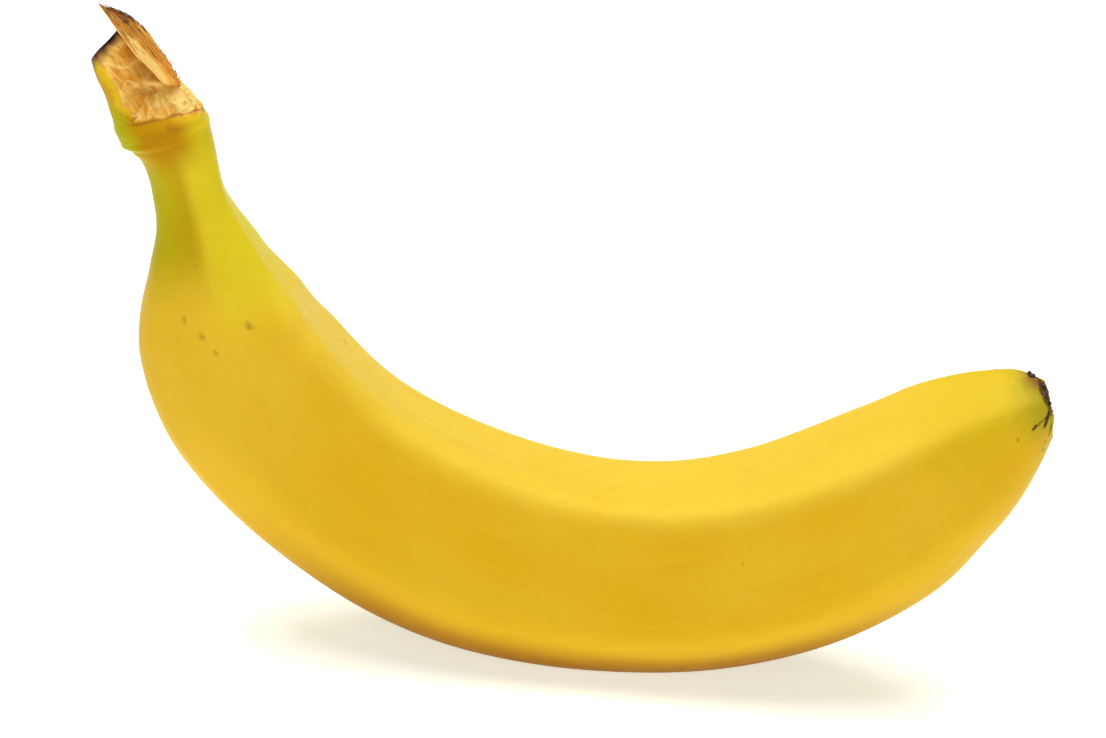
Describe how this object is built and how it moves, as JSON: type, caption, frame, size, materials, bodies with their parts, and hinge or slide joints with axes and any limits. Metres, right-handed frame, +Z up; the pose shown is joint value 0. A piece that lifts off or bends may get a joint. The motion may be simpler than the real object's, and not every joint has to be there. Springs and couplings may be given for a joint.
{
  "type": "banana",
  "caption": "Ripe yellow banana, curved and softly ridged, with a green neck, a torn stem and a dry blossom end, standing on the outside of its curve.",
  "frame": {"origin": "on the ground under the middle of the fruit's box, as it stands on the outside of its curve", "axes": "+X from the stem end to the blossom end, +Y across the fruit, +Z up from the ground towards the hollow of the curve"},
  "size_m": [0.1692, 0.0364, 0.117],
  "materials": {
    "peel": "smooth waxy satin peel, green at the neck, brown at both ends"
  },
  "bodies": {
    "root": {"banana": "peel"}
  },
  "joints": []
}
